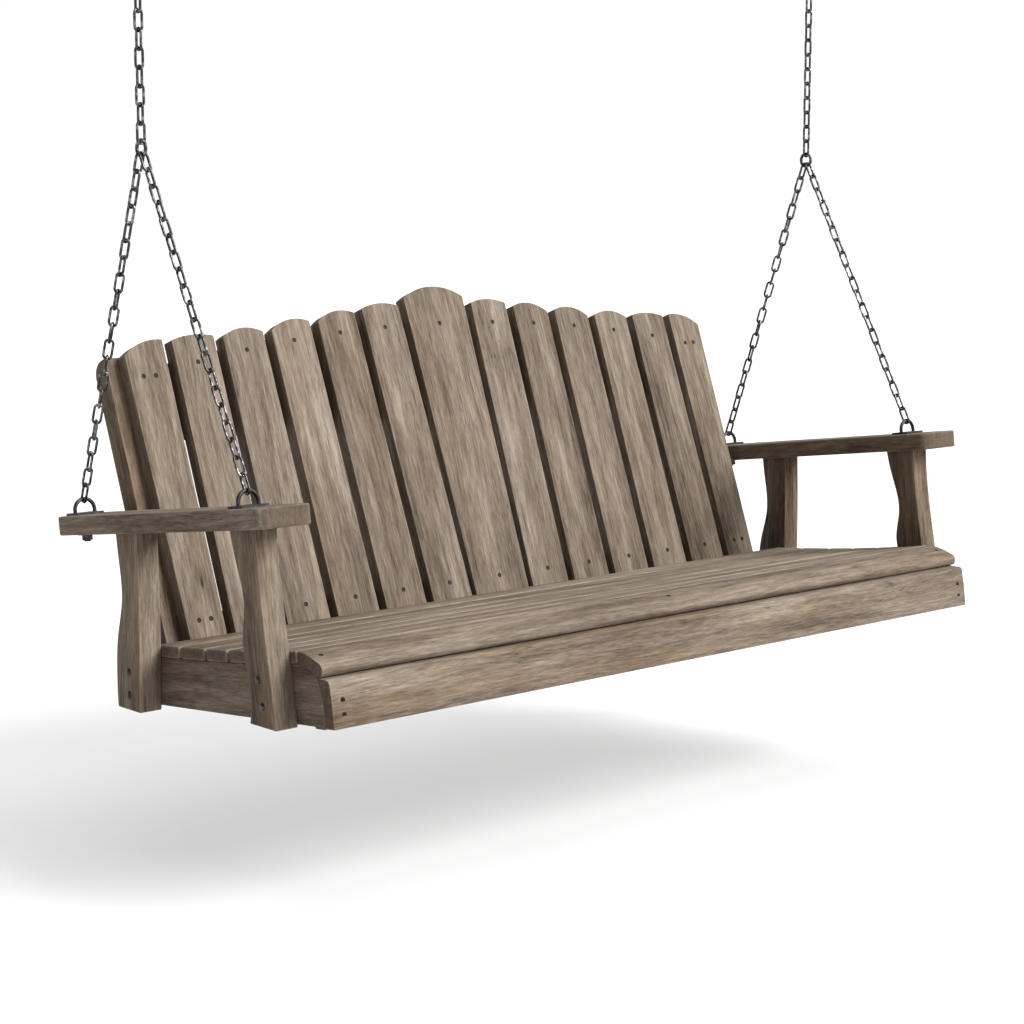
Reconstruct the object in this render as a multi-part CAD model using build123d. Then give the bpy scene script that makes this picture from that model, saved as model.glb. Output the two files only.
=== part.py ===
from build123d import *
import math
import os

# Porch swing that hangs from two ceiling plates. Millimetres.
# The origin is on the ceiling plane, midway between the plates. +X is the bench's right end,
# +Y points to the back of the bench and +Z points up.
# The bench is drawn in its own frame first: y = 0 at the front eyes and z = 0 on the arms there.

# --- Driving dimensions -------------------------------------------------------------------------
overall_width = 1524.0
arm_overhang = 26.0
post_thickness = 38.0
rail_thickness = 38.0
stile_thickness = 38.0
back_rail_thickness = 25.0

arm_length = 545.0
arm_front = -81.0
arm_width = 92.0
arm_thickness = 29.0
arm_slope = 7.4
arm_corner_radius = 16.0
arm_edge_radius = 3.0

seat_slat_widths = [52.0, 52.0, 52.0, 53.0, 62.0, 60.0]
seat_slat_gap = 4.5
seat_slat_thickness = 18.5
seat_front = (-71.0, -193.7)
seat_back = (289.0, -240.2)
seat_dip = 3.5

back_recline = 20.4
back_slat_thickness = 25.0
back_foot = -50.0
centre_slat_foot = 118.0
centre_slat_top = 132.0
foot_first_edge = 69.5
foot_pitch = 99.3
foot_slat_width = 83.5
foot_end_slat_width = 67.0
top_first_edge = 82.0
top_pitch = 96.8
top_slat_width = 79.5
top_end_slat_width = 74.0
slats_per_side = 6
crown_inner = [525.5, 513.0, 503.6, 493.0, 479.0, 476.0, 473.7]
crown_middle = [545.0, 518.5, 508.0, 497.0, 486.5, 479.0, 470.5]
crown_outer = [525.5, 510.0, 490.0, 479.0, 472.6, 471.6, 450.0]
stile_width = 89.0
stile_top = 455.0
stile_top_radius = 25.0
upper_rail_bottom = 320.0
upper_rail_end_top = 437.0
upper_rail_centre_top = 493.0
lower_rail_bottom = -80.0
lower_rail_top = 39.0
lower_screw_row = 26.0
upper_screw_drop = 15.0
end_screw_spread = 11.0

eye_line = 722.0
eye_spacing = 440.0
eye_height = 24.0
eye_half_width = 17.0
eye_wire = 3.0
anchor_plate = (46.0, 34.0, 3.5)
stud_radius = 5.0
stud_clearance = 0.15
front_stud_length = 75.0
washer_radius = 14.0
washer_thickness = 2.5
nut_across_flats = 16.0
nut_thickness = 8.0
stud_end = 2.0

link_wire = 2.0
link_arc = 6.0
link_pitch = 26.3
link_clearance = 0.3
front_leg_links = 20
rear_leg_links = 21
upper_chain_links = 13
ring_wire = 2.75
ring_radius = 11.5
quick_link_wire = 3.0
quick_link_arc = 9.0
quick_link_inside = 36.0
sleeve_radius = 5.5
sleeve_length = 15.0

ceiling_plate = (44.0, 104.0, 6.0)
ceiling_hole_spacing = 72.0
ceiling_hole_radius = 4.5
ceiling_eye_wire = 4.0
ceiling_eye_half_width = 14.0
ceiling_eye_drop = 34.0

screw_head_radius = 3.9
screw_head_thickness = 2.6
screw_recess = 1.0
screw_shank_radius = 2.1
screw_fit = 0.1
back_screw_length = 45.0
seat_screw_length = 50.0
arm_screw_length = 70.0
bolt_head_radius = 7.0
bolt_head_height = 2.6
bolt_shank_radius = 3.0
bolt_length = 70.0

# --- Derived dimensions -------------------------------------------------------------------------
arm_outer = overall_width / 2
post_outer = arm_outer - arm_overhang
rail_outer = post_outer - post_thickness
rail_inner = rail_outer - rail_thickness
slope = math.radians(arm_slope)
recline = math.radians(back_recline)
arm_frame = Location((0, 0, 0), (-arm_slope, 0, 0))
back_plane = Plane(
    origin=(0, seat_back[0], seat_back[1]),
    x_dir=(1, 0, 0),
    z_dir=(0, -math.cos(recline), math.sin(recline)),
)
SIDES = {"left": -1, "right": 1}


# --- Helpers ------------------------------------------------------------------------------------
def across(face, x_from, x_to):
    """Extrudes a y-z outline along x, between two x positions."""
    return extrude(Plane.YZ.offset(x_from) * face, x_to - x_from)


def side_span(side, inner, outer):
    """The x range of a piece on one side of the bench, low end first."""
    return tuple(sorted((side * inner, side * outer)))


def outline(*edges):
    """A face bounded by edges, or by point lists that stand for straight runs."""
    lines = [Polyline(*edge) if isinstance(edge, list) else edge for edge in edges]
    return make_face(lines)


def group(solids):
    return Compound(children=list(solids))


def below(shape, *sizes):
    """A box or cylinder whose top face is centred on the origin."""
    return shape(*sizes, align=(Align.CENTER, Align.CENTER, Align.MAX))


# --- Seat ---------------------------------------------------------------------------------------
def seat_surface(y):
    """Height of the gently dished seat at y."""
    t = (y - seat_front[0]) / (seat_back[0] - seat_front[0])
    line = seat_front[1] + t * (seat_back[1] - seat_front[1])
    return line - 4 * seat_dip * t * (1 - t)


def slat_corners():
    """Top front, top back, bottom back and bottom front corner of each narrow seat slat."""
    corners = []
    y = seat_front[0]
    for width in seat_slat_widths:
        front = Vector(y, seat_surface(y))
        back = Vector(y + width, seat_surface(y + width))
        run = (back - front).normalized()
        down = Vector(run.Y, -run.X) * seat_slat_thickness
        corners.append([front, back, back + down, front + down])
        y += width + seat_slat_gap
    return corners


def flat(points):
    return [(p.X, p.Y) for p in points]


def seat_slats():
    face_of = [make_face(Polyline(*flat(c), close=True)) for c in slat_corners()]
    return [across(face, -rail_outer, rail_outer) for face in face_of]


# The wide front slat: its flat back, crowned top, round nose and the underside that sits on the rails.
slat_back_top = (-75.5, -193.4)
slat_top_bend = (-124.0, -203.2)
slat_nose_low = (-127.0, -222.4)
slat_under_front = (-117.5, -223.4)
slat_under_middle = (-104.0, -216.6)
slat_back_low = (-75.5, -212.6)

# The apron: its inner face is the curved front of the rails, and rises to the slat's underside.
apron_in_middle = (-131.0, -252.0)
apron_in_low = (-136.5, -292.5)
apron_top_front = (-139.5, -224.2)
apron_round = (-146.0, -226.4)
apron_face_top = (-148.6, -231.5)
apron_face_middle = (-154.2, -260.0)
apron_face_low = (-158.0, -290.5)


def front_slat():
    face = outline(
        [slat_back_low, slat_back_top],
        ThreePointArc(slat_back_top, (-101.0, -196.0), slat_top_bend),
        ThreePointArc(slat_top_bend, (-132.0, -213.0), slat_nose_low),
        [slat_nose_low, slat_under_front, slat_under_middle, slat_back_low],
    )
    return across(face, -rail_outer, rail_outer)


def rail_front():
    return ThreePointArc(slat_under_front, apron_in_middle, apron_in_low)


def apron():
    face = outline(
        rail_front(),
        [apron_in_low, apron_face_low],
        ThreePointArc(apron_face_low, apron_face_middle, apron_face_top),
        ThreePointArc(apron_face_top, apron_round, apron_top_front),
        [apron_top_front, slat_under_front],
    )
    return across(face, -rail_outer, rail_outer)


rail_tab = [(-136.5, -294.0), (-116.0, -296.2), (-114.0, -293.4)]
rail_rear = 337.0
rail_rear_low = -336.6
rail_rear_high = -264.0


def rail_outline():
    """Side of a seat rail: it carries the slats on top and the apron at the front."""
    under_slats = [p for corner in slat_corners() for p in flat([corner[3], corner[2]])]
    top = [slat_under_front, slat_under_middle, slat_back_low]
    top += under_slats + [(rail_rear, rail_rear_high)]
    bottom = [(rail_rear, rail_rear_high), (rail_rear, rail_rear_low)]
    bottom += rail_tab[::-1] + [apron_in_low]
    return outline(rail_front(), top, bottom)


def side_rail(side):
    return across(rail_outline(), *side_span(side, rail_inner, rail_outer))


def centre_rail():
    """A seat rail at mid-width that stops on the front faces of the back slats."""
    rail = across(rail_outline(), -rail_thickness / 2, rail_thickness / 2)
    return rail - back_plane * below(Box, arm_length, arm_length, arm_length)


# --- Back ---------------------------------------------------------------------------------------
# Positions in the back's own plane are (x, v), with v measured up the slope from the seat line.
def slat_edges(k):
    """Inner and outer x at the foot line and at the top, for slat k out from the centre."""
    if k == 0:
        half_foot, half_top = centre_slat_foot / 2, centre_slat_top / 2
        return (-half_foot, half_foot), (-half_top, half_top)
    last = k == slats_per_side
    foot = foot_first_edge + (k - 1) * foot_pitch
    top = top_first_edge + (k - 1) * top_pitch
    foot_width = foot_end_slat_width if last else foot_slat_width
    top_width = top_end_slat_width if last else top_slat_width
    return (foot, foot + foot_width), (top, top + top_width)


def slat_outline(k, side):
    (foot_in, foot_out), (top_in, top_out) = slat_edges(k)
    rise = crown_inner[k]

    def edge(foot, top, v):
        return side * (foot + (top - foot) * v / rise), v

    low_in = edge(foot_in, top_in, back_foot)
    low_out = edge(foot_out, top_out, back_foot)
    high_in = edge(foot_in, top_in, crown_inner[k])
    high_out = edge(foot_out, top_out, crown_outer[k])
    middle = edge((foot_in + foot_out) / 2, (top_in + top_out) / 2, crown_middle[k])
    return outline([high_out, low_out, low_in, high_in], ThreePointArc(high_in, middle, high_out))


def back_slat(k, side):
    return extrude(back_plane * slat_outline(k, side), -back_slat_thickness)


def behind_back(face, thickness):
    """A frame member that lies against the back faces of the slats."""
    return extrude(back_plane.offset(-back_slat_thickness) * face, -thickness)


def back_stile(side):
    x_in, x_out = side_span(side, rail_inner - stile_width, rail_inner)
    face = Pos((x_in + x_out) / 2, (lower_rail_bottom + stile_top) / 2) * Rectangle(
        stile_width, stile_top - lower_rail_bottom
    )
    stile = behind_back(face, stile_thickness)
    local = stile.moved(back_plane.location.inverse())
    top_rear = local.edges().filter_by(Axis.X).sort_by(lambda e: e.center().Y - e.center().Z)[-1]
    return fillet(top_rear, stile_top_radius).moved(back_plane.location)


def upper_rail_top(x):
    """Height of the upper rail's arched top edge at x, in the back's plane."""
    half, rise = rail_inner - stile_width, upper_rail_centre_top - upper_rail_end_top
    radius = (half**2 + rise**2) / (2 * rise)
    return upper_rail_centre_top - radius + math.sqrt(radius**2 - x**2)


def upper_back_rail():
    half = rail_inner - stile_width
    left, right = (-half, upper_rail_end_top), (half, upper_rail_end_top)
    face = outline(
        [left, (-half, upper_rail_bottom), (half, upper_rail_bottom), right],
        ThreePointArc(right, (0, upper_rail_centre_top), left),
    )
    return behind_back(face, back_rail_thickness)


def lower_back_rail():
    height = lower_rail_top - lower_rail_bottom
    face = Pos(0, lower_rail_bottom + height / 2) * Rectangle(2 * (rail_inner - stile_width), height)
    return behind_back(face, back_rail_thickness)


# --- Arms and posts -----------------------------------------------------------------------------
def under_arm(y):
    """Height of the arm's underside at y."""
    return -y * math.tan(slope) - arm_thickness / math.cos(slope)


def arm(side):
    x_mid = side * (arm_outer - arm_width / 2)
    plan = RectangleRounded(arm_width, arm_length, arm_corner_radius)
    slab = extrude(Pos(x_mid, arm_front + arm_length / 2, -arm_thickness) * plan, arm_thickness)
    rims = slab.faces().filter_by(Axis.Z).edges()
    return arm_frame * fillet(rims, arm_edge_radius)


post_foot_front = -301.0
post_foot_rear = -337.0


def front_post(side):
    """Leans back a little, with a waist on its rear edge."""
    face = outline(
        [(28.0, under_arm(28.0)), (-33.0, under_arm(-33.0))],
        Spline(
            (-33.0, under_arm(-33.0)), (-44.0, -120.0), (-57.0, -190.0), (-76.0, post_foot_front)
        ),
        [(-76.0, post_foot_front), (-13.0, post_foot_front)],
        Spline(
            (-13.0, post_foot_front), (-7.0, -222.0), (1.5, -188.0),
            (-3.0, -138.0), (14.0, -78.0), (28.0, under_arm(28.0)),
        ),
    )
    return across(face, *side_span(side, rail_outer, post_outer))


def rear_post(side):
    """Stands upright, with a waist on its rear edge."""
    face = outline(
        [(328.0, under_arm(328.0)), (271.0, under_arm(271.0))],
        Spline((271.0, under_arm(271.0)), (268.0, -170.0), (270.0, post_foot_rear)),
        [(270.0, post_foot_rear), (332.0, post_foot_rear)],
        Spline(
            (332.0, post_foot_rear), (334.0, -280.0), (329.0, -228.0),
            (315.5, -170.0), (321.0, -115.0), (328.0, under_arm(328.0)),
        ),
    )
    return across(face, *side_span(side, rail_outer, post_outer))


# --- Eyes on the arms ---------------------------------------------------------------------------
def at_eyes(side, rear):
    """Frame of one eye: on the arm's top face, +Z square to the arm."""
    return arm_frame * Pos(side * eye_line, eye_spacing if rear else 0, 0)


def arch(half_width, height, wire):
    """A round-wire arch in the x-z plane that stands on z = 0."""
    leg = height - half_width
    path = Polyline((-half_width, 0, 0), (-half_width, 0, leg))
    path += ThreePointArc((-half_width, 0, leg), (0, 0, height), (half_width, 0, leg))
    path += Line((half_width, 0, leg), (half_width, 0, 0))
    return sweep(Plane(origin=(-half_width, 0, 0), z_dir=(0, 0, 1)) * Circle(wire), path=path)


def arm_eye(side, rear):
    stand = anchor_plate[2]
    loop = Pos(0, 0, stand) * arch(eye_half_width, eye_height - stand, eye_wire)
    return at_eyes(side, rear) * loop


def eye_plate(side, rear):
    """Base plate with its stud: the front one screws into the post, the rear one takes a nut."""
    through = arm_thickness + washer_thickness + nut_thickness + stud_end
    stud_length = through if rear else front_stud_length
    base = Pos(0, 0, anchor_plate[2]) * below(Box, *anchor_plate)
    return at_eyes(side, rear) * (base + below(Cylinder, stud_radius, stud_length))


def stud_hole(side, rear):
    depth = 3 * arm_thickness if rear else front_stud_length
    return at_eyes(side, rear) * below(Cylinder, stud_radius + stud_clearance, depth)


def eye_washer(side):
    disc = Pos(0, 0, -arm_thickness) * below(Cylinder, washer_radius, washer_thickness)
    return at_eyes(side, True) * disc - stud_hole(side, True)


def eye_nut(side):
    blank = extrude(RegularPolygon(nut_across_flats / 2, 6, major_radius=False), -nut_thickness)
    seat = Pos(0, 0, -arm_thickness - washer_thickness)
    return at_eyes(side, True) * seat * blank - stud_hole(side, True)


# --- Chain --------------------------------------------------------------------------------------
def oval(arc, inside, wire):
    """A long link in the x-z plane, hanging from its top wire centre at the origin."""
    length = inside + 2 * wire
    straight = length - 2 * arc
    top = ThreePointArc((-arc, 0, -arc), (0, 0, 0), (arc, 0, -arc))
    right = Line((arc, 0, -arc), (arc, 0, -arc - straight))
    bottom = ThreePointArc((arc, 0, -arc - straight), (0, 0, -length), (-arc, 0, -arc - straight))
    left = Line((-arc, 0, -arc - straight), (-arc, 0, -arc))
    start = Plane(origin=(-arc, 0, -arc), z_dir=(0, 0, 1))
    return sweep(start * Circle(wire), path=Wire([left, top, right, bottom]))


link_inside = link_pitch + link_clearance
chain_link = oval(link_arc, link_inside, link_wire)


def run_length(links, first_wire, last_wire):
    """Distance between the wires that the two ends of a chain hook on, wire centre to wire centre."""
    return links * link_pitch - first_wire - last_wire - link_clearance


def chain(start, direction, links, first_wire, first_turn, turn):
    """Links that hook on a wire at start and follow direction. Turns are about the direction."""
    down = Vector(*direction).normalized()
    lie = Plane(origin=start, x_dir=(1, 0, 0), z_dir=-down)
    lift = first_wire + link_wire + link_clearance
    pieces = []
    for i in range(links):
        drop = lift - i * link_pitch
        place = lie.location * Pos(0, 0, drop) * Rot(0, 0, first_turn + i * turn)
        pieces.append(place * chain_link)
    return pieces


def eye_wire_centre(rear):
    """Where a chain leg ends, as y and z of the bench frame."""
    along = eye_spacing if rear else 0
    y = along * math.cos(slope) + eye_height * math.sin(slope)
    z = -along * math.sin(slope) + eye_height * math.cos(slope)
    return y, z


def ring_centre():
    """The rings hang where both legs of a side are tight."""
    front_y, front_z = eye_wire_centre(False)
    rear_y, rear_z = eye_wire_centre(True)
    front = ring_radius + run_length(front_leg_links, ring_wire, eye_wire)
    rear = ring_radius + run_length(rear_leg_links, ring_wire, eye_wire)
    base = math.hypot(rear_y - front_y, rear_z - front_z)
    along = (front**2 - rear**2 + base**2) / (2 * base)
    height = math.sqrt(front**2 - along**2)
    unit_y, unit_z = (rear_y - front_y) / base, (rear_z - front_z) / base
    return front_y + along * unit_y - height * unit_z, front_z + along * unit_z + height * unit_y


hang_y, hang_z = ring_centre()
quick_link_top = ceiling_eye_wire + quick_link_wire + link_clearance - ceiling_eye_drop
quick_link_low = quick_link_top - quick_link_inside - 2 * quick_link_wire
ring_top = quick_link_low - run_length(upper_chain_links, quick_link_wire, ring_wire)
ring_z = ring_top - ring_radius
lower_link_wire = ring_top - ring_wire - link_wire - link_clearance
level_wire = lower_link_wire + link_pitch
to_part = Pos(0, -hang_y, ring_z - hang_z)


def leg_chain(side, rear):
    end_y, end_z = eye_wire_centre(rear)
    pull = Vector(0, end_y - hang_y, end_z - hang_z).normalized()
    start = Vector(side * eye_line, hang_y, hang_z) + pull * ring_radius
    links = rear_leg_links if rear else front_leg_links
    turn = (90 + 180 * ((links - 1) // 2)) / (links - 1)
    return group(chain(start, pull, links, ring_wire, 0, turn))


def ring(side):
    return Pos(side * eye_line, hang_y, hang_z) * Rot(0, 90, 0) * Torus(ring_radius, ring_wire)


def upper_links(side):
    start = (side * eye_line, 0, quick_link_low)
    return chain(start, (0, 0, -1), upper_chain_links, quick_link_wire, 0, 90)


def quick_link(side):
    """Oval screw link in the y-z plane, with its sleeve nut on one side."""
    body = Rot(0, 0, 90) * oval(quick_link_arc, quick_link_inside, quick_link_wire)
    middle = -(quick_link_inside + 2 * quick_link_wire) / 2
    blank = extrude(RegularPolygon(sleeve_radius, 6, major_radius=False), sleeve_length / 2, both=True)
    bore = Cylinder(quick_link_wire, 2 * sleeve_length)
    sleeve = Pos(0, quick_link_arc, middle) * (blank - bore)
    return Pos(side * eye_line, 0, quick_link_top) * group([body, sleeve])


def ceiling_plate_at(side):
    plate = Pos(side * eye_line, 0, 0) * below(Box, *ceiling_plate)
    for end in (-1, 1):
        hole = Cylinder(ceiling_hole_radius, 4 * ceiling_plate[2])
        plate -= Pos(side * eye_line, end * ceiling_hole_spacing / 2, 0) * hole
    return plate


def ceiling_eye(side):
    height = ceiling_eye_drop - ceiling_plate[2]
    loop = Rot(180, 0, 0) * arch(ceiling_eye_half_width, height, ceiling_eye_wire)
    return Pos(side * eye_line, 0, -ceiling_plate[2]) * loop


# --- Screws and bolts ---------------------------------------------------------------------------
def screw(length):
    """A wood screw with its head just under the surface at z = 0, pointing to -Z."""
    head = below(Cylinder, screw_head_radius, screw_head_thickness)
    shank = below(Cylinder, screw_shank_radius, length)
    return Pos(0, 0, -screw_recess) * (head + shank)


def screw_hole(length):
    head = below(Cylinder, screw_head_radius + screw_fit, screw_recess + screw_head_thickness)
    shank = below(Cylinder, screw_shank_radius + screw_fit, screw_recess + length)
    return head + shank


def back_screw_places():
    """Locations of each back slat's screws, low ones first, by slat name. End slats have pairs."""
    places = {}
    for k, side, name in slat_names():
        (foot_in, foot_out), (top_in, top_out) = slat_edges(k)
        foot, top = (foot_in + foot_out) / 2, (top_in + top_out) / 2
        spread = (-end_screw_spread, end_screw_spread) if k == slats_per_side else (0,)
        places[name] = []
        for v in (lower_screw_row, upper_rail_top(top) - upper_screw_drop):
            x = foot + (top - foot) * v / crown_inner[k]
            places[name] += [back_plane.location * Pos(side * (x + dx), v, 0) for dx in spread]
    return places


def slat_names():
    """The thirteen back slats from the left end to the right end, as (k, side, node name)."""
    left = [(k, -1) for k in range(slats_per_side, 0, -1)]
    right = [(k, 1) for k in range(slats_per_side + 1)]
    return [(k, side, f"back_slat_{n}") for n, (k, side) in enumerate(left + right, start=1)]


rail_middle = (rail_inner + rail_outer) / 2
post_middle = (rail_outer + post_outer) / 2


# Each spot on the bench's profile is y, z and the tilt that turns +Z out of the surface there.
front_slat_screw_spot = (-104.0, -196.35, 10)
apron_screw_spots = [(-153.3, -252.0, 100), (-156.1, -272.0, 97)]
arm_screw_stations = [-24.0, 306.0]
post_bolt_spots = [(-34.0, -236.0), (-44.0, -272.0), (300.0, -279.0), (300.0, -314.0)]


def on_profile(x, spot):
    y, z, tilt = spot
    return Pos(x, y, z) * Rot(tilt, 0, 0)


def front_slat_screw_places():
    return [on_profile(x, front_slat_screw_spot) for x in (-rail_middle, 0, rail_middle)]


def apron_screw_places():
    """Two screws into each side rail, square to the apron's face."""
    return [on_profile(x, spot) for x in (-rail_middle, rail_middle) for spot in apron_screw_spots]


def arm_screw_places():
    """One screw down into the top of each post."""
    return [
        arm_frame * Pos(side * post_middle, y, 0)
        for side in SIDES.values()
        for y in arm_screw_stations
    ]


def post_bolt_places():
    """Two carriage bolts through each post into its rail, with the head outside."""
    return [
        Pos(side * post_outer, y, z) * Rot(0, 90 * side, 0)
        for side in SIDES.values()
        for y, z in post_bolt_spots
    ]


def bolt():
    """Domed head at z = 0 and a shank that ends inside the rail."""
    dome_radius = (bolt_head_radius**2 + bolt_head_height**2) / (2 * bolt_head_height)
    dome = Pos(0, 0, bolt_head_height - dome_radius) * Sphere(dome_radius)
    dome -= below(Box, 2 * dome_radius, 2 * dome_radius, 2 * dome_radius)
    return dome + below(Cylinder, bolt_shank_radius, bolt_length)


def bolt_hole():
    return below(Cylinder, bolt_shank_radius + screw_fit, bolt_length)


def on_side(places, side, beyond=0):
    """The places that lie farther out than beyond on one side."""
    return [place for place in places if place.position.X * side > beyond]


def drilled(piece, places, tool):
    for place in places:
        piece = piece - place * tool
    return piece


# --- Assembly -----------------------------------------------------------------------------------
def end_parts(label, side):
    """The pieces of one end of the bench: seat rail, stile, posts, arm, eyes, chains and ring."""
    parts = {}
    rail_screws = on_side(front_slat_screw_places() + apron_screw_places(), side)
    slat_screws = [place for spots in back_screw_places().values() for place in spots]
    stile_screws = on_side(slat_screws, side, rail_inner - stile_width)
    bolts = on_side(post_bolt_places(), side)
    top_screws = on_side(arm_screw_places(), side)
    top_hole = screw_hole(arm_screw_length)
    rail = drilled(side_rail(side), rail_screws, screw_hole(seat_screw_length))
    parts[f"{label}_side_rail"] = drilled(rail, bolts, bolt_hole())
    stile = drilled(back_stile(side), stile_screws, screw_hole(back_screw_length))
    parts[f"{label}_back_stile"] = stile
    for end, build, rear in (("front", front_post, False), ("rear", rear_post, True)):
        post = drilled(build(side) - stud_hole(side, False), bolts, bolt_hole())
        parts[f"{label}_{end}_post"] = drilled(post, top_screws, top_hole)
        parts[f"{label}_{end}_eye"] = arm_eye(side, rear)
        parts[f"{label}_{end}_chain"] = leg_chain(side, rear)
    bar = arm(side) - stud_hole(side, False) - stud_hole(side, True)
    parts[f"{label}_arm"] = drilled(bar, top_screws, top_hole)
    parts[f"{label}_ring"] = ring(side)
    return parts


def seat_parts():
    parts = {}
    hole = screw_hole(seat_screw_length)
    front_screws = front_slat_screw_places()
    parts["centre_seat_rail"] = drilled(centre_rail(), front_screws[1:2], hole)
    parts["front_apron"] = drilled(apron(), apron_screw_places(), hole)
    parts["front_seat_slat"] = drilled(front_slat(), front_screws, hole)
    for n, slat in enumerate(seat_slats(), start=1):
        parts[f"seat_slat_{n}"] = slat
    return parts


def back_parts():
    parts = {}
    places = back_screw_places()
    hole = screw_hole(back_screw_length)
    for k, side, name in slat_names():
        parts[name] = drilled(back_slat(k, side), places[name], hole)
    low, high = zip(*[places[name] for k, _, name in slat_names() if k < slats_per_side])
    parts["lower_back_rail"] = drilled(lower_back_rail(), low, hole)
    parts["upper_back_rail"] = drilled(upper_back_rail(), high, hole)
    return parts


def hardware_parts():
    parts = {}
    corners = [(side, rear) for side in SIDES.values() for rear in (False, True)]
    parts["eye_plates"] = group(eye_plate(*corner) for corner in corners)
    parts["eye_washers"] = group(eye_washer(side) for side in SIDES.values())
    parts["eye_nuts"] = group(eye_nut(side) for side in SIDES.values())
    back_places = [place for spots in back_screw_places().values() for place in spots]
    parts["back_screws"] = group(place * screw(back_screw_length) for place in back_places)
    seat_places = front_slat_screw_places() + apron_screw_places()
    parts["seat_screws"] = group(place * screw(seat_screw_length) for place in seat_places)
    parts["arm_screws"] = group(place * screw(arm_screw_length) for place in arm_screw_places())
    parts["post_bolts"] = group(place * bolt() for place in post_bolt_places())
    return parts


def bench_parts():
    """All bench pieces in the bench frame, by node name."""
    parts = {}
    for label, side in SIDES.items():
        parts.update(end_parts(label, side))
    parts.update(seat_parts())
    parts.update(back_parts())
    parts.update(hardware_parts())
    return parts


def hanging_parts():
    """Everything above the rings, in the part's frame."""
    parts = {}
    for label, side in SIDES.items():
        links = upper_links(side)
        parts[f"{label}_upper_chain"] = group(links[:-1])
        parts[f"{label}_lower_link"] = links[-1]
        parts[f"{label}_quick_link"] = quick_link(side)
    parts["ceiling_plates"] = group(ceiling_plate_at(side) for side in SIDES.values())
    parts["ceiling_eyes"] = group(ceiling_eye(side) for side in SIDES.values())
    return parts


def main():
    os.makedirs("parts", exist_ok=True)
    parts = {name: to_part * piece for name, piece in bench_parts().items()}
    parts.update(hanging_parts())
    for name, piece in parts.items():
        export_step(piece, f"parts/{name}.step")
    print(f"{len(parts)} nodes")
    print(f"ring centre in the bench frame: y {hang_y:.2f}, z {hang_z:.2f}")
    print(f"bench frame origin in the part frame: y {-hang_y:.2f}, z {ring_z - hang_z:.2f}")
    print(f"swing axis z {-ceiling_eye_drop:.2f}, sway axis z {quick_link_low:.2f}")
    print(f"level axis z {level_wire:.2f}, pitch axis z {lower_link_wire:.2f}, ring centre z {ring_z:.2f}")


main()
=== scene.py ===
import math
import random

import bmesh
import bpy
import numpy as np
from mathutils import Matrix, Vector


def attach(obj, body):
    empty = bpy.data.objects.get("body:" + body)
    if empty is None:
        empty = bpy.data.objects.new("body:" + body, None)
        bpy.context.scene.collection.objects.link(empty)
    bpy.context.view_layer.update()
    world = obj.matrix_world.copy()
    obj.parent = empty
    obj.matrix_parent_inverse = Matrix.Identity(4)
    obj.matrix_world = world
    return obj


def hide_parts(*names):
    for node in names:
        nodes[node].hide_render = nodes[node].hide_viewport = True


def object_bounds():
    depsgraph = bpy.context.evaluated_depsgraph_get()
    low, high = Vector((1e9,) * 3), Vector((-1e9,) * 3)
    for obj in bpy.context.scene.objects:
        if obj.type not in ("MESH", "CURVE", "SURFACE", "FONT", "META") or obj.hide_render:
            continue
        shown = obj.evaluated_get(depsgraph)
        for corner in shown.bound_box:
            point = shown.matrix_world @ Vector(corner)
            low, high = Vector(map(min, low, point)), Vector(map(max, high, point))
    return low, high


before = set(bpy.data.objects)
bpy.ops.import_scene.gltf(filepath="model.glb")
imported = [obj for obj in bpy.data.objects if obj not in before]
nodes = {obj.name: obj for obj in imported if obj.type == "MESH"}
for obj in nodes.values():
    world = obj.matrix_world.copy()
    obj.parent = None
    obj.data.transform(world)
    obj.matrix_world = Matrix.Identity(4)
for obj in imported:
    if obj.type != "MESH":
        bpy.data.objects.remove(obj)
cad_box = [list(corner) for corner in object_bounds()]

# --- Viewpoint: above the arms, from the front left ------------------------------------------------
CAMERA_PLACE = Vector((-2.43275, -2.72495, -0.48846))
CAMERA_AZIMUTH = 41.62
CAMERA_DIP = 8.14
CAMERA_LENS = 76.87
CAMERA_SENSOR = 36.0

# --- Stage ------------------------------------------------------------------------------------------
FLOOR_DROP = 0.25
FLOOR_SIZE = 60.0


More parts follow.
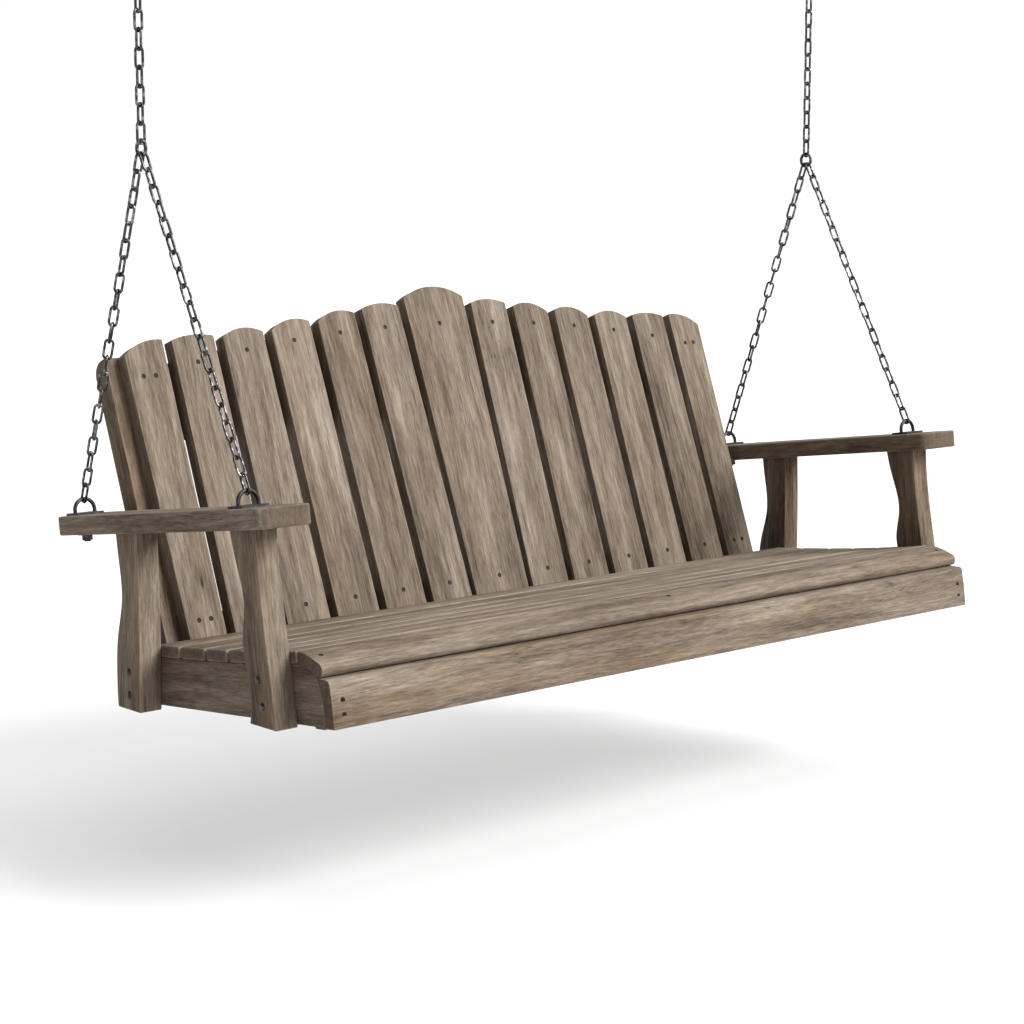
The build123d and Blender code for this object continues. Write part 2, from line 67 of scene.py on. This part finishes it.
# --- Node helpers -----------------------------------------------------------------------------------
class Graph:
    """Adds shader nodes to one material and links them by name."""

    def __init__(self, name):
        self.material = bpy.data.materials.new(name)
        self.material.use_nodes = True
        self.tree = self.material.node_tree
        self.tree.nodes.clear()
        self.output = self.add("ShaderNodeOutputMaterial")

    def add(self, kind, **settings):
        node = self.tree.nodes.new(kind)
        for key, value in settings.items():
            setattr(node, key, value)
        return node

    def feed(self, socket, value):
        """Links an output to a socket, or sets the socket to a plain value."""
        if isinstance(value, bpy.types.NodeSocket):
            self.tree.links.new(value, socket)
        else:
            socket.default_value = value

    def math(self, operation, a, b=0.0, clamp=False):
        node = self.add("ShaderNodeMath", operation=operation, use_clamp=clamp)
        self.feed(node.inputs[0], a)
        self.feed(node.inputs[1], b)
        return node.outputs[0]

    def stretch(self, vector, scale, shift=(0.0, 0.0, 0.0)):
        node = self.add("ShaderNodeMapping")
        self.feed(node.inputs["Vector"], vector)
        self.feed(node.inputs["Scale"], scale)
        self.feed(node.inputs["Location"], shift)
        return node.outputs[0]

    def noise(self, vector, scale, detail=3.0, roughness=0.55, distortion=0.0):
        node = self.add("ShaderNodeTexNoise")
        self.feed(node.inputs["Vector"], vector)
        self.feed(node.inputs["Scale"], scale)
        self.feed(node.inputs["Detail"], detail)
        self.feed(node.inputs["Roughness"], roughness)
        self.feed(node.inputs["Distortion"], distortion)
        return node.outputs["Fac"]

    def span(self, value, low, high, to_low=0.0, to_high=1.0):
        """Maps low..high to to_low..to_high, and holds it at the ends."""
        node = self.add("ShaderNodeMapRange", clamp=True)
        self.feed(node.inputs["Value"], value)
        self.feed(node.inputs["From Min"], low)
        self.feed(node.inputs["From Max"], high)
        self.feed(node.inputs["To Min"], to_low)
        self.feed(node.inputs["To Max"], to_high)
        return node.outputs["Result"]

    def ramp(self, value, stops):
        node = self.add("ShaderNodeValToRGB")
        elements = node.color_ramp.elements
        while len(elements) < len(stops):
            elements.new(0.5)
        for element, (position, colour) in zip(elements, stops):
            element.position = position
            element.color = (*colour, 1.0)
        self.feed(node.inputs["Fac"], value)
        return node.outputs["Color"]

    def mix(self, factor, a, b, blend="MIX"):
        node = self.add("ShaderNodeMix", data_type="RGBA", blend_type=blend)
        self.feed(node.inputs[0], factor)
        self.feed(node.inputs[6], a if isinstance(a, bpy.types.NodeSocket) else (*a, 1.0))
        self.feed(node.inputs[7], b if isinstance(b, bpy.types.NodeSocket) else (*b, 1.0))
        return node.outputs[2]

    def surface(self, colour, roughness, height=None, bump=0.3, depth=0.001, **plain):
        shader = self.add("ShaderNodeBsdfPrincipled")
        self.feed(shader.inputs["Base Color"], colour)
        self.feed(shader.inputs["Roughness"], roughness)
        for key, value in plain.items():
            self.feed(shader.inputs[key.replace("_", " ")], value)
        if height is not None:
            relief = self.add("ShaderNodeBump")
            self.feed(relief.inputs["Strength"], bump)
            self.feed(relief.inputs["Distance"], depth)
            self.feed(relief.inputs["Height"], height)
            self.feed(shader.inputs["Normal"], relief.outputs[0])
        self.feed(self.output.inputs["Surface"], shader.outputs[0])
        return self.material


# --- Materials --------------------------------------------------------------------------------------
WOOD_STOPS = [
    (0.0, (0.010, 0.0072, 0.0045)),
    (0.25, (0.039, 0.028, 0.019)),
    (0.48, (0.082, 0.061, 0.043)),
    (0.70, (0.126, 0.099, 0.074)),
    (1.0, (0.205, 0.168, 0.133)),
]
CRACK_COLOUR = (0.014, 0.010, 0.007)


def shifted_grain(g):
    """Board coordinates, moved by the board's own seed and bent a little along the grain."""
    place = g.add("ShaderNodeTexCoord").outputs["Object"]
    seed = g.add("ShaderNodeAttribute", attribute_name="board").outputs["Fac"]
    offset = g.add("ShaderNodeCombineXYZ")
    for socket, spread in zip(offset.inputs, (7.3, 3.1, 5.7)):
        g.feed(socket, g.math("MULTIPLY", seed, spread))
    moved = g.add("ShaderNodeVectorMath", operation="ADD")
    g.feed(moved.inputs[0], place)
    g.feed(moved.inputs[1], offset.outputs[0])
    wander = g.noise(g.stretch(moved.outputs[0], (2.2, 7.0, 7.0)), 1.0, detail=1.0)
    drift = g.add("ShaderNodeCombineXYZ")
    g.feed(drift.inputs[1], g.math("MULTIPLY", g.math("SUBTRACT", wander, 0.5), 0.03))
    bent = g.add("ShaderNodeVectorMath", operation="ADD")
    g.feed(bent.inputs[0], moved.outputs[0])
    g.feed(bent.inputs[1], drift.outputs[0])
    return bent.outputs[0], seed


def summed(g, layers, base):
    """Adds noise layers, each about its middle value and times its own weight, to a base."""
    total = base
    for layer, weight in layers:
        total = g.math("ADD", total, g.math("MULTIPLY", g.math("SUBTRACT", layer, 0.5), weight))
    return total


def weathered_wood(name, warmth, shade):
    """Grey-brown weathered board. Object X runs along the grain and Z through the thickness."""
    g = Graph(name)
    grain, seed = shifted_grain(g)
    # Mask of the rounded-over faces, used for rubbed wear and for a painted edge highlight.
    worn_and_highlight = g.add("ShaderNodeAttribute", attribute_name="worn_and_highlight").outputs["Fac"]

    clouds = g.noise(g.stretch(grain, (3.2, 24.0, 24.0)), 1.0, detail=2.0)
    bands = g.noise(g.stretch(grain, (3.5, 62.0, 62.0)), 1.0, detail=2.0)
    streaks = g.noise(g.stretch(grain, (12.0, 150.0, 150.0)), 1.0, detail=2.0, roughness=0.6)
    fibres = g.noise(g.stretch(grain, (34.0, 330.0, 330.0)), 1.0, detail=3.0, roughness=0.75)
    own = g.math("FRACT", g.math("MULTIPLY", seed, 12.9))
    layers = [(clouds, 0.85), (bands, 0.55), (streaks, 0.50), (fibres, 1.00), (own, 0.12)]
    tone = summed(g, layers, 0.60 + shade)

    # Thin dark cracks that follow the grain, only in places.
    veins = g.noise(g.stretch(grain, (5.0, 120.0, 120.0), (9.0, 4.0, 1.0)), 1.0, detail=2.0)
    line = g.span(g.math("ABSOLUTE", g.math("SUBTRACT", veins, 0.5)), 0.0, 0.014, 1.0, 0.0)
    where = g.noise(g.stretch(grain, (6.0, 14.0, 14.0), (2.0, 8.0, 5.0)), 1.0, detail=1.0)
    crack = g.math("MULTIPLY", line, g.span(where, 0.55, 0.68))

    # Small dark knots, drawn out along the grain.
    cells = g.add("ShaderNodeTexVoronoi", feature="F1")
    g.feed(cells.inputs["Vector"], g.stretch(grain, (5.0, 15.0, 15.0), (1.0, 2.0, 3.0)))
    g.feed(cells.inputs["Scale"], 1.0)
    chosen = g.add("ShaderNodeSeparateColor")
    g.feed(chosen.inputs[0], cells.outputs["Color"])
    some = g.span(chosen.outputs[0], 0.58, 0.62)
    knot = g.math("MULTIPLY", g.span(cells.outputs["Distance"], 0.025, 0.065, 1.0, 0.0), some)
    halo = g.math("MULTIPLY", g.span(cells.outputs["Distance"], 0.06, 0.22, 1.0, 0.0), some)
    tone = g.math("SUBTRACT", tone, g.math("MULTIPLY", halo, 0.14))

    # End grain is darker and closer, and the rounded edges are paler: partly rubbed wear, partly a
    # painted highlight along the edges.
    facing = g.add("ShaderNodeSeparateXYZ")
    g.feed(facing.inputs[0], g.add("ShaderNodeTexCoord").outputs["Normal"])
    end = g.span(g.math("ABSOLUTE", facing.outputs[0]), 0.72, 0.9)
    pores = g.noise(g.stretch(grain, (40.0, 260.0, 90.0)), 1.0, detail=3.0)
    end_tone = summed(g, [(pores, 0.55), (clouds, 0.3)], 0.42 + shade)
    tone = g.math("ADD", g.math("MULTIPLY", tone, g.math("SUBTRACT", 1.0, end)),
                  g.math("MULTIPLY", end_tone, end))
    tone = g.math("ADD", tone, g.math("MULTIPLY", worn_and_highlight, 0.14))

    colour = g.ramp(tone, WOOD_STOPS)
    tint = g.noise(g.stretch(grain, (2.0, 16.0, 16.0), (6.0, 6.0, 0.0)), 1.0, detail=1.0)
    colour = g.mix(g.span(tint, 0.42, 0.72, 0.0, warmth), colour, (1.0, 0.82, 0.62), "MULTIPLY")
    dark = g.math("MAXIMUM", g.math("MULTIPLY", crack, 0.75), g.math("MULTIPLY", knot, 0.88))
    colour = g.mix(dark, colour, CRACK_COLOUR)

    height = g.math("ADD", g.math("MULTIPLY", streaks, 0.5), g.math("MULTIPLY", fibres, 0.7))
    height = g.math("SUBTRACT", height, g.math("MULTIPLY", dark, 1.2))
    rough = g.span(streaks, 0.3, 0.7, 0.92, 0.76)
    return g.surface(colour, rough, height, bump=0.5, depth=0.0012, Specular_IOR_Level=0.25)


def dark_steel(name, base, edge, roughness, metallic, specular=0.5):
    """Blackened steel with rubbed highlights and a little dull oxide."""
    g = Graph(name)
    place = g.add("ShaderNodeTexCoord").outputs["Object"]
    patches = g.noise(g.stretch(place, (110.0, 110.0, 110.0)), 1.0, detail=3.0)
    specks = g.noise(g.stretch(place, (900.0, 900.0, 900.0)), 1.0, detail=2.0)
    rubbed = g.span(patches, 0.48, 0.70)
    colour = g.mix(rubbed, base, edge)
    rough = g.span(specks, 0.3, 0.7, roughness - 0.08, roughness + 0.12)
    return g.surface(
        colour, rough, specks, bump=0.18, depth=0.0002, Metallic=metallic, Specular_IOR_Level=specular
    )


wood = {
    "slat": weathered_wood("weathered_slat", 0.30, 0.0),
    "arm": weathered_wood("weathered_arm", 0.40, -0.02),
    "post": weathered_wood("weathered_post", 0.85, -0.04),
    "frame": weathered_wood("weathered_frame", 0.60, -0.05),
}
steel = {
    "chain": dark_steel("chain_steel", (0.045, 0.044, 0.042), (0.26, 0.255, 0.25), 0.30, 1.0),
    "plate": dark_steel("black_plate", (0.014, 0.014, 0.015), (0.040, 0.039, 0.038), 0.42, 0.6),
    "bolt": dark_steel("bolt_steel", (0.030, 0.028, 0.026), (0.12, 0.115, 0.11), 0.32, 1.0),
    # Screw heads are near-black brown with little shine. This is dark steel plus painted shade of the
    # recessed holes they sit in.
    "screw": dark_steel("screw_steel", (0.005, 0.004, 0.003), (0.012, 0.010, 0.008), 0.62, 0.0, 0.15),
}

# --- Wooden boards ----------------------------------------------------------------------------------
EASE = {"slat": 0.0013, "seat": 0.0034, "arm": 0.0, "post": 0.0022, "frame": 0.0018}
EASE_STEPS = 3
SHARP = math.radians(28)
HOLE_EDGE = 0.0026
SMOOTH = math.radians(35)
FLAT = math.radians(0.6)
WELD = 1e-6


def board_axes(mesh):
    """Middle of the board, and its long and thick directions, from its surface."""
    moment = np.zeros((3, 3))
    centre = np.zeros(3)
    total = 0.0
    mesh.calc_loop_triangles()
    for triangle in mesh.loop_triangles:
        corners = [np.array(mesh.vertices[i].co) for i in triangle.vertices]
        whole = sum(corners)
        centre += triangle.area * whole / 3
        squares = sum(np.outer(c, c) for c in corners) + np.outer(whole, whole)
        moment += triangle.area / 12 * squares
        total += triangle.area
    centre /= total
    _, axes = np.linalg.eigh(moment / total - np.outer(centre, centre))
    along, thick = Vector(axes[:, 2]), Vector(axes[:, 0])
    return Vector(centre), along, thick


def upright(direction):
    """The direction or its opposite, whichever has a positive largest part."""
    largest = max(direction, key=abs)
    return direction if largest > 0 else -direction


def eased_board(name, material, seed, ease):
    """A copy of a board with its sharp edges rounded over, lying in a frame that follows its grain."""
    source = nodes[name].data
    centre, along, thick = board_axes(source)
    along, thick = upright(along), upright(thick)
    wide = thick.cross(along)
    turn = Matrix((along, wide, thick)).transposed().to_4x4()
    local = Matrix.Translation(centre) @ turn

    shape = bmesh.new()
    shape.from_mesh(source)
    shape.transform(local.inverted())
    bmesh.ops.remove_doubles(shape, verts=shape.verts, dist=WELD)
    bmesh.ops.dissolve_limit(shape, angle_limit=FLAT, verts=shape.verts, edges=shape.edges)
    sharp = [
        e for e in shape.edges
        if len(e.link_faces) == 2 and e.calc_face_angle() > SHARP and e.calc_length() > HOLE_EDGE
    ]
    eased = []
    if ease:
        result = bmesh.ops.bevel(
            shape, geom=sharp, offset=ease, segments=EASE_STEPS, profile=0.5,
            affect="EDGES", clamp_overlap=False,
        )
        shape.faces.index_update()
        eased = [face.index for face in result["faces"]]
    for face in shape.faces:
        face.smooth = True
    for edge in shape.edges:
        angle = edge.calc_face_angle(0.0) if len(edge.link_faces) == 2 else math.pi
        edge.smooth = angle < SMOOTH

    mesh = bpy.data.meshes.new(f"{name}_board")
    shape.to_mesh(mesh)
    shape.free()
    marks = mesh.attributes.new("board", "FLOAT", "POINT")
    marks.data.foreach_set("value", np.full(len(mesh.vertices), seed, np.float32))
    # Rounded-over faces are marked for a paler tone: rubbed wear plus a painted highlight along the
    # edges.
    wear_and_highlight = np.zeros(len(mesh.polygons), np.float32)
    wear_and_highlight[eased] = 1.0
    mesh.attributes.new("worn_and_highlight", "FLOAT", "FACE").data.foreach_set("value", wear_and_highlight)
    mesh.materials.append(material)

    piece = bpy.data.objects.new(f"{name}_board", mesh)
    bpy.context.scene.collection.objects.link(piece)
    piece.matrix_world = local
    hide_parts(name)
    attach(piece, "bench")
    return piece


def wood_kind(name):
    if "slat" in name:
        return "slat"
    if name.endswith("_arm"):
        return "arm"
    return "post" if name.endswith("_post") else "frame"


WOOD_WORDS = ("slat", "_arm", "_post", "rail", "stile", "apron")
BOARD_SEED = 11
dice = random.Random(BOARD_SEED)
for name in sorted(nodes):
    if any(word in name for word in WOOD_WORDS):
        kind = wood_kind(name)
        ease = EASE["seat" if name.startswith("seat_slat") else kind]
        eased_board(name, wood[kind], dice.random(), ease)


# --- Metal ------------------------------------------------------------------------------------------
def metal_kind(name):
    if "chain" in name or "ring" in name or "lower_link" in name:
        return "chain"
    if "plate" in name or ("eye" in name and name not in ("eye_nuts", "eye_washers")):
        return "plate"
    if "screws" in name:
        return "screw"
    return "bolt"


for name, node in nodes.items():
    if not node.hide_render:
        node.data.materials.clear()
        node.data.materials.append(steel[metal_kind(name)])


# --- Stage, light and camera ------------------------------------------------------------------------
def floor_material():
    g = Graph("studio_floor")
    place = g.add("ShaderNodeTexCoord").outputs["Object"]
    mottle = g.noise(g.stretch(place, (3.0, 3.0, 3.0)), 1.0)
    colour = g.mix(g.span(mottle, 0.3, 0.7), (0.41, 0.41, 0.41), (0.43, 0.43, 0.43))
    return g.surface(
        colour, 0.9, Specular_IOR_Level=0.1, Emission_Color=(1.0, 1.0, 1.0, 1.0), Emission_Strength=0.36
    )


def add_floor():
    low = cad_box[0][2] - FLOOR_DROP
    half = FLOOR_SIZE / 2
    mesh = bpy.data.meshes.new("floor")
    corners = [(-half, -half, low), (half, -half, low), (half, half, low), (-half, half, low)]
    mesh.from_pydata(corners, [], [(0, 1, 2, 3)])
    mesh.materials.append(floor_material())
    floor = bpy.data.objects.new("floor", mesh)
    bpy.context.scene.collection.objects.link(floor)


def soft_sun(name, towards_light, spread, power):
    """Light from one direction, as soft as a panel that fills the given angle."""
    data = bpy.data.lights.new(name, "SUN")
    data.angle = math.radians(spread)
    data.energy = power
    light = bpy.data.objects.new(name, data)
    light.rotation_euler = Vector(towards_light).to_track_quat("Z", "Y").to_euler()
    bpy.context.scene.collection.objects.link(light)


def add_world(bright, dim, bright_below, dim_above):
    """A white band round the horizon under a dimmer ceiling."""
    world = bpy.data.worlds.new("studio")
    world.use_nodes = True
    tree = world.node_tree
    backdrop = tree.nodes["Background"]
    direction = tree.nodes.new("ShaderNodeTexCoord")
    parts = tree.nodes.new("ShaderNodeSeparateXYZ")
    fade = tree.nodes.new("ShaderNodeMapRange")
    settings = {
        "From Min": math.sin(math.radians(bright_below)),
        "From Max": math.sin(math.radians(dim_above)),
        "To Min": bright,
        "To Max": dim,
    }
    for socket, value in settings.items():
        fade.inputs[socket].default_value = value
    tree.links.new(direction.outputs["Generated"], parts.inputs[0])
    tree.links.new(parts.outputs[2], fade.inputs["Value"])
    tree.links.new(fade.outputs["Result"], backdrop.inputs["Strength"])
    backdrop.inputs["Color"].default_value = (1.0, 1.0, 1.0, 1.0)
    bpy.context.scene.world = world


def add_camera():
    azimuth, dip = math.radians(CAMERA_AZIMUTH), math.radians(CAMERA_DIP)
    forward = Vector((
        math.sin(azimuth) * math.cos(dip), math.cos(azimuth) * math.cos(dip), -math.sin(dip)
    ))
    data = bpy.data.cameras.new("camera")
    data.sensor_width = CAMERA_SENSOR
    data.lens = CAMERA_LENS
    camera = bpy.data.objects.new("camera", data)
    camera.location = CAMERA_PLACE
    camera.rotation_euler = forward.to_track_quat("-Z", "Y").to_euler()
    bpy.context.scene.collection.objects.link(camera)
    bpy.context.scene.camera = camera


add_floor()
add_world(bright=1.02, dim=0.20, bright_below=12.0, dim_above=26.0)
soft_sun("key", (0.43, -0.72, 0.55), 30.0, 6.6)
soft_sun("top", (0.15, -0.05, 1.0), 60.0, 2.7)
add_camera()
bpy.context.scene.view_settings.view_transform = "Standard"
